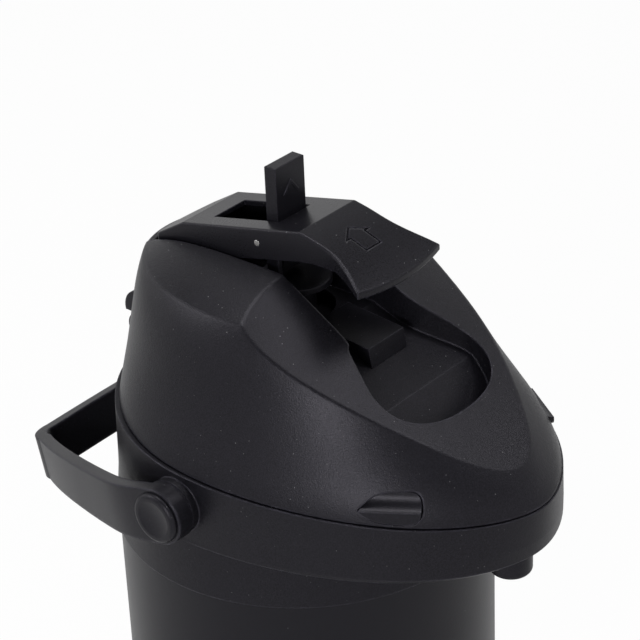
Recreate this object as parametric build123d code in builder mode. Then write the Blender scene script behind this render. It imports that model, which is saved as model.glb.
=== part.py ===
from build123d import *
from math import cos, hypot, pi, radians, sin
import os

os.makedirs("parts", exist_ok=True)

# An airpot: a vacuum flask with a lever pump in its hinged lid.
# Millimetres, +Z up, origin at the centre of the foot pad's rest plane.
# The spout points to -Y, and the lid hinge and the hanging handle are at +Y.

# Driving sizes of the body
BODY_R = 80.8
SEAM_Z = 245.0
CASING_T = 0.8
BASE_H = 18.0
FOOT_T = 2.5

# Shoulder collar, a round back with a drawn-out beak
LID_SEAM_Z = SEAM_Z + 53.0
LID_SEAM_SLOPE = 0.064
LID_SEAM_GAP = 0.7
COLLAR_T = 2.8
SKIRT_R = 81.8
RIM_R = 78.6
BEAK_Z = SEAM_Z + 22.0
DECK_T = 4.0

# Neck, its seat ring and the path of the water
NECK_R = 34.0
NECK_TOP = SEAM_Z + 38.0
RING_TOP = SEAM_Z + 47.0
RING_R = 41.0
RING_IN_R = 27.0
PIPE_R = 3.5
PIPE_Z = SEAM_Z + 42.7
TUBE_Y = -22.0
NOZZLE_Y = -108.5
NOZZLE_L = 14.4
NOZZLE_R = 9.0

# Egg-shaped plans: height above the body seam, half width, rear reach, front reach, bluntness
BEAK_PLANS = [
    (22.0, 79.7, 79.7, 121.6, 1.9),
    (23.6, 79.5, 79.5, 123.8, 1.9),
    (30.0, 79.2, 79.2, 124.5, 1.87),
    (60.0, 78.3, 78.6, 125.8, 1.78),
]
LID_PLANS = [
    (43.0, 79.0, 78.0, 125.7, 1.8),
    (56.0, 76.0, 77.6, 117.6, 1.88),
    (70.0, 69.8, 76.4, 103.4, 1.95),
    (90.0, 62.4, 74.4, 84.6, 2.0),
    (112.5, 51.5, 71.0, 70.0, 2.0),
]
ROOF_PLANS = [
    (112.5, 51.5, 71.0, 70.0, 2.0),
    (117.4, 38.0, 61.0, 60.0, 2.0),
    (120.8, 20.0, 46.0, 50.0, 2.0),
]
LID_BASE_Z = SEAM_Z + 54.0
LID_T = 2.6
FACET_ANGLE = 31.0
FACET_Y = -87.0
FACET_Z = SEAM_Z + 76.0
FACET_SAG_FRONT = -3.0
FACET_SAG_BACK = 12.0
TROUGH_HALF = 20.0
TROUGH_BACK = 61.0
FLOOR_Z = SEAM_Z + 95.0
HINGE_Y = 79.5
HINGE_Z = SEAM_Z + 63.5
PIN_R = 1.8

# Pump lever and its flip-up lock tab
LEVER_HALF = 18.0
LEVER_T = 2.4
LEVER_PIN = (54.0, SEAM_Z + 107.0)
FOLD = (-18.0, SEAM_Z + 141.0)
TIP = (-54.5, SEAM_Z + 129.0)
TIP_HALF = 26.0
SKIRT_H = 13.0
TAB_HALF = 8.7
TAB_PIN = (4.2, SEAM_Z + 129.6)
TAB_TOP = SEAM_Z + 159.5
TAB_FOOT = SEAM_Z + 111.8
TAB_PIN_R = 1.3

# Pump under the lever
PLUNGER_TOP = SEAM_Z + 109.5
BELLOWS_LOW = SEAM_Z + 58.5
BELLOWS_TOP = BELLOWS_LOW + 26.5
BELLOWS_R = 27.0

# Side latch buttons
LATCH_Y = -88.0
LATCH_Z = SEAM_Z + 54.4
LATCH_LONG = 12.3
LATCH_TALL = 5.6

# Bail handle
PIVOT_Z = SEAM_Z + 38.0
DROOP = 13.0
STRAP_T = 5.5
STRAP_H = 25.0
GRIP_H = 18.5
GRIP_Y = 108.4
ARM_X = 85.0
HUB_X = 82.4
STUD_R = 4.5

# Running clearance of a pin in its hole, and open gap beside a moving piece
RUN = 0.05
GAP = 0.4


def egg(side, rear, tip, blunt):
    """Closed plan line: half an ellipse behind, a longer and blunter or sharper half in front."""
    steps = 8
    front = []
    for i in range(steps + 1):
        turn = pi * i / steps
        x = abs(cos(turn)) ** (2 / blunt)
        y = sin(turn) ** (2 / blunt)
        front.append((-side * x if turn < pi / 2 else side * x, -tip * y))
    EllipticalCenterArc((0, 0), side, rear, 0, arc_size=180)
    Spline(*front, tangents=((0, -1), (0, 1)))


def egg_solid(plans, inset=0.0, lower=0.0, straight=False):
    """Solid through egg plans, drawn in and lowered for a hollow, with smooth or straight walls."""
    with BuildPart() as form:
        for height, side, rear, tip, blunt in plans:
            with BuildSketch(Plane.XY.offset(SEAM_Z + height - lower)):
                with BuildLine():
                    egg(side - inset, rear - inset, tip - inset, blunt)
                make_face()
        loft(ruled=straight)
    return form.part


def seam_side(above, shift):
    """Solid above or below the sloping seam between collar and lid, moved by a shift."""
    half = 160
    low = LID_SEAM_Z + shift - half * LID_SEAM_SLOPE
    high = LID_SEAM_Z + shift + half * LID_SEAM_SLOPE
    far = SEAM_Z + (300 if above else -100)
    return side_slab([(-half, low), (half, high), (half, far), (-half, far)], half)


def facet_cutter(drop):
    """Everything above the sloping front face of the lid, flat in front and crowned behind."""
    slope = radians(FACET_ANGLE)
    origin = (0, FACET_Y + drop * sin(slope), FACET_Z - drop * cos(slope))
    face = Plane(origin=origin, x_dir=(1, 0, 0), z_dir=(0, cos(slope), sin(slope)))
    wide = 60.0
    with BuildPart() as cutter:
        for along, sag in ((-70, FACET_SAG_FRONT), (130, FACET_SAG_BACK)):
            with BuildSketch(face.offset(along)):
                with BuildLine():
                    ThreePointArc((-wide, sag), (0, 0), (wide, sag))
                    Polyline((wide, sag), (wide, -90), (-wide, -90), (-wide, sag))
                make_face()
        loft(ruled=True)
    return cutter.part


def lid_form(inset):
    """Lid dome with its crowned roof and front facet, drawn in by a wall thickness."""
    walls = egg_solid(LID_PLANS, inset)
    roof = egg_solid(ROOF_PLANS, inset, inset)
    cutter = facet_cutter(inset)
    with BuildPart() as form:
        add(walls)
        add(roof)
        add(cutter, mode=Mode.SUBTRACT)
    return form.part


def side_slab(points, half):
    """Solid with the given (y, z) outline, reaching half its width to each side."""
    with BuildPart() as slab:
        with BuildSketch(Plane.YZ):
            with BuildLine():
                Polyline(*points, close=True)
            make_face()
        extrude(amount=half, both=True)
    return slab.part


def flask_form(radius, low, shoulder, neck_r, neck_low, top):
    """Bottle shape turned about the body axis."""
    round_r = 14.0
    with BuildPart() as form:
        with BuildSketch(Plane.XZ):
            with BuildLine():
                Line((0, low), (radius - round_r, low))
                JernArc((radius - round_r, low), (1, 0), round_r, 90)
                Line((radius, low + round_r), (radius, shoulder))
                Spline(
                    (radius, shoulder),
                    (neck_r, neck_low),
                    tangents=((0, 1), (0, 1)),
                    tangent_scalars=(1.4, 1.4),
                )
                Polyline((neck_r, neck_low), (neck_r, top), (0, top), (0, low))
            make_face()
        revolve(axis=Axis.Z)
    return form.part


def save(built, label):
    """Name a finished piece and write its file."""
    built.part.label = label
    export_step(built.part, "parts/" + label + ".step")


# Foot pad, the rubber disc that the airpot stands on, with holes for the screw heads
with BuildPart() as foot_pad:
    with BuildSketch():
        Circle(72)
        with PolarLocations(40, 3, 90):
            Circle(5, mode=Mode.SUBTRACT)
    extrude(amount=FOOT_T)
save(foot_pad, "foot_pad")

# Base cup, which closes the casing from below and carries the flask
BASE_SPIGOT = BODY_R - CASING_T
with BuildPart() as base_cup:
    with BuildSketch(Plane.XY.offset(FOOT_T)):
        Circle(BODY_R)
    extrude(amount=BASE_H - FOOT_T)
    fillet(base_cup.edges().group_by(Axis.Z)[0], 4)
    with BuildSketch(Plane.XY.offset(BASE_H)):
        Circle(BASE_SPIGOT)
    extrude(amount=8)
    with BuildSketch(Plane.XY.offset(FOOT_T + 3)):
        Circle(BASE_SPIGOT - 2.6)
    extrude(amount=40, mode=Mode.SUBTRACT)
    with Locations((0, 0, FOOT_T)):
        with PolarLocations(40, 3, 90):
            Hole(2.1)
save(base_cup, "base_cup")

# Base screws, which hold the flask cushion's plate to the base cup
with BuildPart() as base_screws:
    with BuildSketch(Plane.XY.offset(FOOT_T - 2)):
        with PolarLocations(40, 3, 90):
            Circle(4)
    extrude(amount=2)
    with BuildSketch(Plane.XY.offset(FOOT_T)):
        with PolarLocations(40, 3, 90):
            Circle(2)
    extrude(amount=9)
save(base_screws, "base_screws")

# Flask cushion, the rubber cup under the flask
CUSHION_TOP = 14.5
with BuildPart() as flask_cushion:
    with BuildSketch(Plane.XY.offset(FOOT_T + 3)):
        Circle(56)
        with PolarLocations(40, 3, 90):
            Circle(2, mode=Mode.SUBTRACT)
    extrude(amount=CUSHION_TOP - FOOT_T - 3)
save(flask_cushion, "flask_cushion")

# Casing, the coated steel tube that is seen between base and collar
with BuildPart() as casing:
    with BuildSketch(Plane.XY.offset(BASE_H)):
        Circle(BODY_R)
        Circle(BODY_R - CASING_T, mode=Mode.SUBTRACT)
    extrude(amount=SEAM_Z - BASE_H)
save(casing, "casing")

# Vacuum flask, an outer and an inner steel bottle that meet at the lip of the neck
LIP_T = 0.8
flask_outside = flask_form(72, CUSHION_TOP, 214, NECK_R, 262, NECK_TOP - LIP_T)
flask_outside_hollow = flask_form(71.2, CUSHION_TOP + 0.8, 214, NECK_R - 0.8, 262, NECK_TOP + 5)
with BuildPart() as flask_outer:
    add(flask_outside)
    add(flask_outside_hollow, mode=Mode.SUBTRACT)
save(flask_outer, "flask_outer")

flask_inside = flask_form(67, 20, 210, NECK_R - 2, 258, NECK_TOP)
flask_inside_hollow = flask_form(66.2, 20.8, 210, NECK_R - 2.8, 258, NECK_TOP + 5)
with BuildPart() as flask_inner:
    add(flask_inside)
    with BuildSketch(Plane.XY.offset(NECK_TOP - LIP_T)):
        Circle(NECK_R)
    extrude(amount=LIP_T)
    add(flask_inside_hollow, mode=Mode.SUBTRACT)
save(flask_inner, "flask_inner")

# Collar with beak, deck, handle bosses and the two hinge ears
beak = egg_solid(BEAK_PLANS, straight=True)
above_seam = seam_side(True, -LID_SEAM_GAP / 2)
EAR_IN = 9.0
EAR_OUT = 14.0
EAR_R = 7.0
with BuildPart() as collar:
    with BuildSketch(Plane.XY.offset(SEAM_Z)):
        Circle(SKIRT_R)
    with BuildSketch(Plane.XY.offset(BEAK_Z)):
        Circle(79.7)
    loft()
    add(beak)
    with BuildSketch(Plane.XY.offset(SEAM_Z - 8)):
        Circle(BODY_R - CASING_T)
    extrude(amount=9)
    with BuildSketch(Plane.XY.offset(SEAM_Z - 9)):
        Circle(BODY_R - CASING_T - 2.2)
    extrude(amount=BEAK_Z - SEAM_Z + 9 + 0.5, mode=Mode.SUBTRACT)
    with BuildSketch(Plane.XY.offset(BEAK_Z + DECK_T)):
        with BuildLine():
            egg(RIM_R - COLLAR_T, RIM_R - COLLAR_T, 125 - COLLAR_T, 1.8)
        make_face()
    extrude(amount=60, mode=Mode.SUBTRACT)
    add(above_seam, mode=Mode.SUBTRACT)
    with BuildSketch(Plane.XY.offset(BEAK_Z - 5)):
        Circle(NECK_R + 3)
        with Locations((0, NOZZLE_Y)):
            Circle(PIPE_R + 0.7)
    extrude(amount=20, mode=Mode.SUBTRACT)
    for side in (1, -1):
        with BuildSketch(Plane.YZ.offset(side * (RIM_R - 2.4))):
            with Locations((0, PIVOT_Z)):
                Circle(12)
        extrude(amount=side * (HUB_X - GAP - RIM_R + 2.4))
    with BuildSketch(Plane.YZ):
        with Locations((0, PIVOT_Z)):
            Circle(STUD_R)
    extrude(amount=100, both=True, mode=Mode.SUBTRACT)
    for side in (1, -1):
        with BuildSketch(Plane.YZ.offset(side * EAR_IN)):
            with Locations((HINGE_Y, HINGE_Z)):
                Circle(4)
            with Locations((HINGE_Y, HINGE_Z - 8)):
                Rectangle(8, 16)
            with BuildLine():
                Line((HINGE_Y, HINGE_Z + EAR_R), (HINGE_Y, HINGE_Z - EAR_R))
                ThreePointArc(
                    (HINGE_Y, HINGE_Z - EAR_R),
                    (HINGE_Y + EAR_R, HINGE_Z),
                    (HINGE_Y, HINGE_Z + EAR_R),
                )
            make_face()
        extrude(amount=side * (EAR_OUT - EAR_IN))
    with BuildSketch(Plane.YZ):
        with Locations((HINGE_Y, HINGE_Z)):
            Circle(PIN_R)
    extrude(amount=40, both=True, mode=Mode.SUBTRACT)
save(collar, "collar")

# Neck ring, the plastic seat that ties the flask's neck to the collar's deck
with BuildPart() as neck_ring:
    with BuildSketch(Plane.XY.offset(BEAK_Z + DECK_T)):
        Circle(RING_R)
        Circle(RING_R - 2.6, mode=Mode.SUBTRACT)
    extrude(amount=NECK_TOP - BEAK_Z - DECK_T)
    with BuildSketch(Plane.XY.offset(NECK_TOP)):
        Circle(RING_R)
        Circle(RING_IN_R, mode=Mode.SUBTRACT)
    extrude(amount=RING_TOP - NECK_TOP)
    with BuildSketch(Plane.XY.offset(NECK_TOP - 14)):
        Circle(NECK_R - 3.2)
        Circle(RING_IN_R, mode=Mode.SUBTRACT)
    extrude(amount=14)
    with BuildSketch(Plane.XZ.offset(-TUBE_Y)):
        with Locations((0, PIPE_Z)):
            Circle(PIPE_R)
    extrude(amount=25, mode=Mode.SUBTRACT)
save(neck_ring, "neck_ring")

# Spout pipe, from its socket inside the neck, over the ring and down through the beak
BEND_R = 5.0
with BuildPart() as spout_pipe:
    with BuildLine(Plane.YZ) as pipe_route:
        FilletPolyline(
            (TUBE_Y, NECK_TOP - 10),
            (TUBE_Y, PIPE_Z),
            (NOZZLE_Y, PIPE_Z),
            (NOZZLE_Y, BEAK_Z - 1),
            radius=BEND_R,
        )
    with BuildSketch(Plane.XY.offset(NECK_TOP - 10)):
        with Locations((0, TUBE_Y)):
            Circle(PIPE_R)
            Circle(PIPE_R - 1, mode=Mode.SUBTRACT)
    sweep(path=pipe_route.wires()[0])
save(spout_pipe, "spout_pipe")

# Nozzle, the mouth that hangs under the beak
with BuildPart() as nozzle:
    with BuildSketch(Plane.XY.offset(BEAK_Z - NOZZLE_L)):
        with Locations((0, NOZZLE_Y)):
            Circle(NOZZLE_R)
            Circle(PIPE_R + 0.2, mode=Mode.SUBTRACT)
    extrude(amount=NOZZLE_L)
    fillet(nozzle.edges().group_by(Axis.Z)[0].sort_by(SortBy.RADIUS)[-1], 2.2)
save(nozzle, "nozzle")

# Dip tube, which reaches from the pipe's socket to just above the flask's floor
with BuildPart() as dip_tube:
    with BuildSketch(Plane.XY.offset(25)):
        with Locations((0, TUBE_Y)):
            Circle(PIPE_R)
            Circle(PIPE_R - 1, mode=Mode.SUBTRACT)
    extrude(amount=NECK_TOP - 10 - 25)
save(dip_tube, "dip_tube")

# Hinge pin of the lid
with BuildPart() as lid_hinge_pin:
    with BuildSketch(Plane.YZ):
        with Locations((HINGE_Y, HINGE_Z)):
            Circle(PIN_R)
    extrude(amount=EAR_OUT, both=True)
save(lid_hinge_pin, "lid_hinge_pin")

# Lid shell: dome, trough for the lever, pocket for its paddle, holes for the latch buttons
BLUNT = LID_PLANS[0][4]
BASE_SIDE = 77.9
BASE_TIP = 125.4
LATCH_X = BASE_SIDE * (1 - (-LATCH_Y / BASE_TIP) ** BLUNT) ** (1 / BLUNT)
nx = (LATCH_X / BASE_SIDE) ** (BLUNT - 1) / BASE_SIDE
ny = -((-LATCH_Y / BASE_TIP) ** (BLUNT - 1)) / BASE_TIP
LATCH_NORMAL = (nx / hypot(nx, ny), ny / hypot(nx, ny))


def latch_plane(side, out):
    """Upright plane across a latch button, facing outward, moved out along its travel."""
    dx = side * LATCH_NORMAL[0]
    dy = LATCH_NORMAL[1]
    origin = (side * LATCH_X + out * dx, LATCH_Y + out * dy, LATCH_Z)
    return Plane(origin=origin, x_dir=(-dy, dx, 0), z_dir=(dx, dy, 0))


def latch_outline(side, grow):
    """Drop-shaped outline of a latch button, pointed to the rear and round towards the beak."""

    def at(forward, up):
        return (
            -side * forward * (1 + grow / LATCH_LONG),
            up * (1 + grow / LATCH_TALL),
        )

    tip = at(-LATCH_LONG, -0.6)
    nose = at(LATCH_LONG, 0)
    Spline(tip, at(-5, 4.5), at(4, LATCH_TALL - 0.1), nose, tangents=((-side, 0.9), (0, -1)))
    Spline(nose, at(4, 0.1 - LATCH_TALL), at(-5, -4.6), tip, tangents=((0, -1), (side, 0.7)))


def pocket(grow, floor_drop):
    """Hollow over the trough and pocket floor, inside the plan line of the rim."""
    half = TROUGH_HALF + grow
    back = TROUGH_BACK + grow
    right = [(half, -34)]
    for x, y in ((22.6, -46), (27.0, -55), (30.8, -65), (29.8, -75), (22.5, -82.3), (11, -86)):
        reach = grow * min(1, max(0, -y - 60) / 27)
        right.append((x + grow - reach * 0.5, y - reach))
    left = [(-x, y) for x, y in reversed(right)]
    with BuildPart() as plan_column:
        with BuildSketch(Plane.XY.offset(SEAM_Z + 40)):
            with BuildLine():
                Polyline((-half, -34), (-half, back), (half, back), (half, -34))
                Spline(*right, *left, tangents=((0, -1), (0, 1)))
            make_face()
        extrude(amount=110)
    low = FLOOR_Z - floor_drop
    profile = side_slab(
        [
            (80, low),
            (-24.5, low),
            (-48.6, low - 9.2),
            (-66.2, low - 16),
            (-78, low - 28),
            (-100, low - 28),
            (-100, SEAM_Z + 170),
            (80, SEAM_Z + 170),
        ],
        50,
    )
    with BuildPart() as hollow:
        add(plan_column.part)
        add(profile, mode=Mode.INTERSECT)
    return hollow.part


lid_blank = lid_form(0)
with BuildPart() as lid_rounded:
    add(lid_blank)
    fillet(lid_rounded.edges().sort_by(SortBy.LENGTH)[-2:].sort_by(Axis.Z)[-1], 2)
    brows = []
    for edge in lid_rounded.edges():
        if (edge @ 0.5).Z > SEAM_Z + 111 and edge.length > 8:
            brows.append(edge)
    fillet(brows, 4)
lid_outside = lid_rounded.part
lid_inside = lid_form(LID_T)
tub = pocket(LID_T, LID_T)
tub_void = pocket(0, 0)
OPENING_Z = SEAM_Z + 110.4
rear_opening = side_slab(
    [(TROUGH_BACK - 2, OPENING_Z), (95, OPENING_Z), (95, OPENING_Z + 40), (TROUGH_BACK - 2, OPENING_Z + 40)],
    TROUGH_HALF,
)
below_lid = seam_side(False, LID_SEAM_GAP / 2)
PLUNGER_HOLE_R = 16.0
with BuildPart() as lid_space:
    add(lid_inside)
    add(tub, mode=Mode.SUBTRACT)
with BuildPart() as lid_shell:
    add(lid_outside)
    add(lid_space.part, mode=Mode.SUBTRACT)
    add(tub_void, mode=Mode.SUBTRACT)
    add(below_lid, mode=Mode.SUBTRACT)
    add(rear_opening, mode=Mode.SUBTRACT)
    with BuildSketch(Plane.XY.offset(FLOOR_Z - 6)):
        Circle(PLUNGER_HOLE_R)
    extrude(amount=10, mode=Mode.SUBTRACT)
    with BuildSketch(Plane.YZ):
        with Locations(LEVER_PIN):
            Circle(PIN_R)
    extrude(amount=TROUGH_HALF + 6, both=True, mode=Mode.SUBTRACT)
    for side in (1, -1):
        with BuildSketch(latch_plane(side, -12)):
            with BuildLine():
                latch_outline(side, 0.5)
            make_face()
        extrude(amount=30, mode=Mode.SUBTRACT)
        with BuildSketch(Plane.XY.offset(HINGE_Z - 10)):
            with Locations((side * (EAR_IN + EAR_OUT) / 2, HINGE_Y)):
                Rectangle(EAR_OUT - EAR_IN + 2 * GAP, 14)
        extrude(amount=10 + EAR_R + GAP, mode=Mode.SUBTRACT)
save(lid_shell, "lid_shell")

# Lid base, the plate that closes the lid from below, with the pump's mouth
with BuildPart() as lid_base:
    with BuildSketch(Plane.XY.offset(LID_BASE_Z)):
        with BuildLine():
            egg(72.4, 73.0, 112, 1.85)
        make_face()
    extrude(amount=2.5)
    with BuildSketch(Plane.XY.offset(RING_TOP + 2.2)):
        Circle(37)
        Circle(24, mode=Mode.SUBTRACT)
    extrude(amount=LID_BASE_Z - RING_TOP - 2.2)
    with BuildSketch(Plane.XY.offset(RING_TOP)):
        Circle(9)
    extrude(amount=20, mode=Mode.SUBTRACT)
    for side in (1, -1):
        with BuildSketch(latch_plane(side, -17.5)):
            Rectangle(2 * LATCH_LONG + 5.4, 40)
        extrude(amount=40, mode=Mode.SUBTRACT)
    with Locations((0, 0, LID_BASE_Z + 2.5)):
        with PolarLocations(48, 4, 45):
            Hole(1.6)
save(lid_base, "lid_base")

# Neck seal, the rubber ring under the lid that presses on the neck ring
with BuildPart() as neck_seal:
    with BuildSketch(Plane.XY.offset(RING_TOP + 0.2)):
        Circle(37)
        Circle(28.5, mode=Mode.SUBTRACT)
    extrude(amount=2)
save(neck_seal, "neck_seal")

# Air valve, the rubber flap over the pump's mouth
with BuildPart() as air_valve:
    with BuildSketch(Plane.XY.offset(LID_BASE_Z - 1.6)):
        Circle(12)
    extrude(amount=1.5)
save(air_valve, "air_valve")

# Pump housing, the sleeve that guides the bellows, on a flange screwed to the lid base
HOUSING_LOW = LID_BASE_Z + 2.5
HOUSING_TOP = FLOOR_Z - LID_T - 3
with BuildPart() as pump_housing:
    with BuildSketch(Plane.XY.offset(HOUSING_LOW)):
        Circle(BELLOWS_R + 4.4)
        Circle(BELLOWS_R + 2, mode=Mode.SUBTRACT)
    extrude(amount=HOUSING_TOP - HOUSING_LOW)
    with BuildSketch(Plane.XY.offset(HOUSING_LOW)):
        Circle(52)
        Circle(8, mode=Mode.SUBTRACT)
        with PolarLocations(48, 4, 45):
            Circle(1.6, mode=Mode.SUBTRACT)
    extrude(amount=2.0)
save(pump_housing, "pump_housing")

# Bellows, the folded rubber air pump
FOLDS = 6
FOLD_DEPTH = 4.5
BELLOWS_T = 1.2
fold_h = (BELLOWS_TOP - BELLOWS_LOW) / FOLDS
zigzag = [(BELLOWS_R - FOLD_DEPTH * (i % 2), BELLOWS_LOW + i * fold_h / 2) for i in range(2 * FOLDS + 1)]
back_line = [(r - BELLOWS_T, z) for r, z in reversed(zigzag)]
with BuildPart() as bellows:
    with BuildSketch(Plane.XZ):
        with BuildLine():
            Polyline(*zigzag, *back_line, close=True)
        make_face()
    revolve(axis=Axis.Z)
save(bellows, "bellows")

# Pump spring inside the bellows, one wound wire
SPRING_TURNS = 5
SPRING_WIRE = 1.6
spring_low = BELLOWS_LOW + SPRING_WIRE / 2 + 0.1
spring_pitch = (BELLOWS_TOP - BELLOWS_LOW - SPRING_WIRE - 0.4) / SPRING_TURNS
with BuildPart() as pump_spring:
    with BuildLine(Plane.XY.offset(spring_low)) as spring_route:
        Helix(spring_pitch, spring_pitch * SPRING_TURNS, 14)
    with BuildSketch(Plane(origin=spring_route.wires()[0] @ 0, z_dir=spring_route.wires()[0] % 0)):
        Circle(SPRING_WIRE / 2)
    sweep(path=spring_route.wires()[0], is_frenet=True)
save(pump_spring, "pump_spring")
print("spring", pump_spring.part.is_valid, "least gap between turns", spring_pitch - SPRING_WIRE)

# Plunger: plate on the bellows, rod through the trough floor and the plate the lever pushes
with BuildPart() as plunger:
    with BuildSketch(Plane.XY.offset(BELLOWS_TOP)):
        Circle(BELLOWS_R)
    extrude(amount=2.5)
    with BuildSketch(Plane.XY.offset(BELLOWS_TOP)):
        Circle(8)
    extrude(amount=PLUNGER_TOP - BELLOWS_TOP)
    with BuildSketch(Plane.XY.offset(PLUNGER_TOP - 3)):
        Circle(PLUNGER_HOLE_R - 1)
    extrude(amount=3)
    fillet(plunger.edges().group_by(Axis.Z)[-1], 0.8)
save(plunger, "plunger")

# Lid screws, which hold the pump housing to the lid base
with BuildPart() as lid_screws:
    with BuildSketch(Plane.XY.offset(LID_BASE_Z - 2)):
        with PolarLocations(48, 4, 45):
            Circle(3.2)
    extrude(amount=2)
    with BuildSketch(Plane.XY.offset(LID_BASE_Z)):
        with PolarLocations(48, 4, 45):
            Circle(1.6)
    extrude(amount=6)
save(lid_screws, "lid_screws")

# Rear tab, the hinge knuckle of the lid with the finger tab above it, clear of the collar's ears
TAB_LOW = HINGE_Z + EAR_R + GAP
with BuildPart() as rear_tab:
    with BuildSketch(Plane.YZ):
        with Locations((HINGE_Y, HINGE_Z)):
            Circle(4.2)
        Polygon(
            (70, TAB_LOW),
            (70, HINGE_Z - 3),
            (HINGE_Y, HINGE_Z),
            (HINGE_Y + 4.2, HINGE_Z),
            (HINGE_Y + 4.2, TAB_LOW),
            align=None,
        )
        with Locations((HINGE_Y, HINGE_Z)):
            Circle(PIN_R + RUN, mode=Mode.SUBTRACT)
    extrude(amount=EAR_IN - GAP, both=True)
    with BuildSketch(Plane.YZ):
        with BuildLine():
            Polyline((HINGE_Y, SEAM_Z + 82), (70, SEAM_Z + 82), (70, TAB_LOW), (HINGE_Y + EAR_R, TAB_LOW))
            ThreePointArc(
                (HINGE_Y + EAR_R, TAB_LOW),
                (HINGE_Y + EAR_R - 1, SEAM_Z + 77.5),
                (HINGE_Y, SEAM_Z + 82),
            )
        make_face()
    extrude(amount=15, both=True)
    add(lid_outside, mode=Mode.SUBTRACT)
save(rear_tab, "rear_tab")

# Stop block in the pocket, under the paddle
BLOCK_HALF = 11.2
with BuildPart() as stop_block:
    with BuildSketch(Plane.YZ):
        with BuildLine():
            Polyline(
                (-46.8, SEAM_Z + 94.4),
                (-48.4, SEAM_Z + 85.8 + 0.1),
                (-24.5, SEAM_Z + 95),
                (-18, SEAM_Z + 95),
                (-18, SEAM_Z + 96.6),
                close=True,
            )
        make_face()
    extrude(amount=BLOCK_HALF, both=True)
save(stop_block, "stop_block")

# Pump lever: side skirts, flat top with the slot for the lock tab, flared paddle
TOP_LINE = [(68.5, SEAM_Z + 112.2), (46, SEAM_Z + 126.2), FOLD]


def lever_profile(drop, low_points):
    """Side outline of the lever between its top line, moved down, and a lower line."""
    top = [(y, z - drop) for y, z in TOP_LINE]
    tip = (TIP[0] - 3.2 * (1 if drop == 0 else -1), TIP[1] - 1.8 - drop)
    with BuildPart() as slab:
        with BuildSketch(Plane.YZ):
            with BuildLine():
                Polyline(*top)
                ThreePointArc(top[-1], ((FOLD[0] + tip[0]) / 2, (FOLD[1] + tip[1] - drop) / 2 + 2.0), tip)
                Polyline(tip, *low_points, top[0])
            make_face()
        extrude(amount=40, both=True)
    return slab.part


def lever_plan(grow):
    """Plan of the lever seen from above, drawn in by its wall thickness for the hollow."""
    half = LEVER_HALF - grow
    wide = TIP_HALF - grow
    with BuildPart() as column:
        with BuildSketch(Plane.XY.offset(SEAM_Z + 80)):
            with BuildLine():
                Line((-half, -30), (-half, 60 - grow))
                ThreePointArc((-half, 60 - grow), (0, 68.5 - grow), (half, 60 - grow))
                Line((half, 60 - grow), (half, -30))
                Spline((half, -30), (wide, TIP[0] + grow), tangents=((0, -1), (0.45, -1)))
                ThreePointArc((wide, TIP[0] + grow), (0, TIP[0] - 3 + grow), (-wide, TIP[0] + grow))
                Spline((-wide, TIP[0] + grow), (-half, -30), tangents=((0.45, 1), (0, 1)))
            make_face()
        extrude(amount=80)
    return column.part


LEVER_LOW = [
    (TIP[0] - 3.2, TIP[1] - 4.6),
    (TIP[0], TIP[1] - 3),
    (-37.5, SEAM_Z + 129.6),
    (-24, FOLD[1] - SKIRT_H + 1),
    (-18, FOLD[1] - SKIRT_H),
    (23, SEAM_Z + 117.6),
    (46, SEAM_Z + 102.6),
    (56, SEAM_Z + 102.6),
    (60.2, SEAM_Z + 106.5),
    (60.2, SEAM_Z + 111.0),
    (68.5, SEAM_Z + 111.0),
]
lever_outside = lever_profile(0, LEVER_LOW)
lever_column = lever_plan(0)
lever_hollow_profile = lever_profile(LEVER_T, [(-60, SEAM_Z + 90), (90, SEAM_Z + 90), (90, SEAM_Z + 100)])
lever_hollow_column = lever_plan(2.2)
with BuildPart() as lever_hollow:
    add(lever_hollow_profile)
    add(lever_hollow_column, mode=Mode.INTERSECT)
RIB_X = 12.5

# Engraved outline of an arrow on the paddle, which points to the fold
ARROW = [(-4.7, -42), (4.7, -42), (4.7, -34), (7.6, -34), (0, -28.4), (-7.6, -34), (-4.7, -34)]
below_engraving = lever_profile(0.35, LEVER_LOW)
with BuildPart() as arrow_groove:
    with BuildSketch(Plane.XY.offset(SEAM_Z + 115)):
        with BuildLine():
            Polyline(*ARROW, close=True)
        make_face()
        offset(amount=-0.7, kind=Kind.INTERSECTION, mode=Mode.SUBTRACT)
    extrude(amount=40)
    add(below_engraving, mode=Mode.SUBTRACT)
with BuildPart() as lever:
    add(lever_outside)
    add(lever_column, mode=Mode.INTERSECT)
    fillet(lever.faces().filter_by(lambda face: face.normal_at().Z > 0.5).edges(), 1)
    add(lever_hollow.part, mode=Mode.SUBTRACT)
    add(arrow_groove.part, mode=Mode.SUBTRACT)
    for side in (1, -1):
        with BuildSketch(Plane.YZ.offset(side * RIB_X - 1.25)):
            with BuildLine():
                Polyline(
                    (-3, PLUNGER_TOP + 3.5),
                    (-1.2, PLUNGER_TOP + 1.0),
                    (1.2, PLUNGER_TOP + 1.0),
                    (3, PLUNGER_TOP + 3.5),
                    (3, SEAM_Z + 134.6),
                    (-3, SEAM_Z + 136),
                    close=True,
                )
            make_face()
        extrude(amount=2.5)
    with BuildSketch(Plane.XY.offset(SEAM_Z + 100)):
        with Locations((0, 17)):
            Rectangle(2 * TAB_HALF + 1.4, 36)
    extrude(amount=60, mode=Mode.SUBTRACT)
    with BuildSketch(Plane.YZ):
        with Locations(LEVER_PIN):
            Circle(PIN_R + RUN)
        with Locations(TAB_PIN):
            Circle(TAB_PIN_R)
    extrude(amount=30, both=True, mode=Mode.SUBTRACT)
save(lever, "lever")

# Lever pin and lock tab pin
with BuildPart() as lever_pin:
    with BuildSketch(Plane.YZ):
        with Locations(LEVER_PIN):
            Circle(PIN_R)
    extrude(amount=TROUGH_HALF + LID_T, both=True)
save(lever_pin, "lever_pin")

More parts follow.
